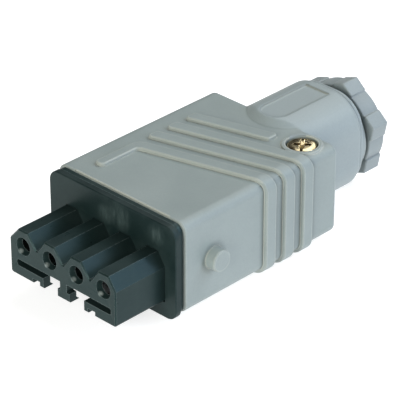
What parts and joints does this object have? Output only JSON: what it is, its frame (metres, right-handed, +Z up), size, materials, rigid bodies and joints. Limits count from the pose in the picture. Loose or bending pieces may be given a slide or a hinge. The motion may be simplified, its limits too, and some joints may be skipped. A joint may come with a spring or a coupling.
{
  "type": "cable socket connector",
  "caption": "Flat power connector: black block of pin sockets with key slots in a grey ribbed housing, with side locking pegs, a captive screw and a hexagonal cable gland.",
  "frame": {"origin": "on the surface that the part lies on, under the middle of its bounding box", "axes": "+X to the right seen from the contacts, +Y from the contacts to the cable gland, +Z up"},
  "size_m": [0.0428, 0.0908, 0.0244],
  "materials": {
    "grey_plastic": "fine moulded grain",
    "black_plastic": "satin moulded",
    "gasket_rubber": "matte",
    "seal_rubber": "matte",
    "ring_plastic": "plain moulded",
    "contact_metal": "silver plated",
    "steel": "zinc plated",
    "screw_brass": "turned bright"
  },
  "bodies": {
    "housing": {"housing": "grey_plastic", "contact_carrier": "black_plastic", "face_gasket": "gasket_rubber", "line_contact_1": "contact_metal", "line_contact_2": "contact_metal", "line_contact_3": "contact_metal", "earth_contact": "contact_metal", "clamp_screw_1": "steel", "clamp_screw_2": "steel", "clamp_screw_3": "steel", "clamp_screw_4": "steel", "wire_plate_1": "steel", "wire_plate_2": "steel", "wire_plate_3": "steel", "wire_plate_4": "steel", "gland_seal": "seal_rubber", "screw_bush": "screw_brass"},
    "clamp_ring": {"clamp_ring": "ring_plastic"},
    "gland_nut": {"gland_nut": "grey_plastic"},
    "screw_washer": {"screw_washer": "screw_brass"},
    "housing_screw": {"housing_screw": "screw_brass"}
  },
  "joints": [
    {"name": "clamp_ring_slide", "type": "slide", "parent": "housing", "child": "clamp_ring", "axis": [0, 1, 0], "range_m": [-0.00071, 0.00282]},
    {"name": "gland_nut_turn", "type": "hinge", "parent": "clamp_ring", "child": "gland_nut", "pos_m": [0, 0.0408, 0.01215], "axis": [0, 1, 0], "range_deg": [-181, 721]},
    {"name": "screw_washer_slide", "type": "slide", "parent": "housing", "child": "screw_washer", "axis": [0, 0, 1], "range_m": [0, 0.0048]},
    {"name": "housing_screw_turn", "type": "hinge", "parent": "screw_washer", "child": "housing_screw", "pos_m": [0.0131, 0.01285, 0.02], "axis": [0, 0, 1], "range_deg": [0, 2882]}
  ],
  "couplings": [
    {"joint": "gland_nut_turn", "follows": "clamp_ring_slide", "rad_per_m": 4453},
    {"joint": "housing_screw_turn", "follows": "screw_washer_slide", "rad_per_m": 10472}
  ]
}
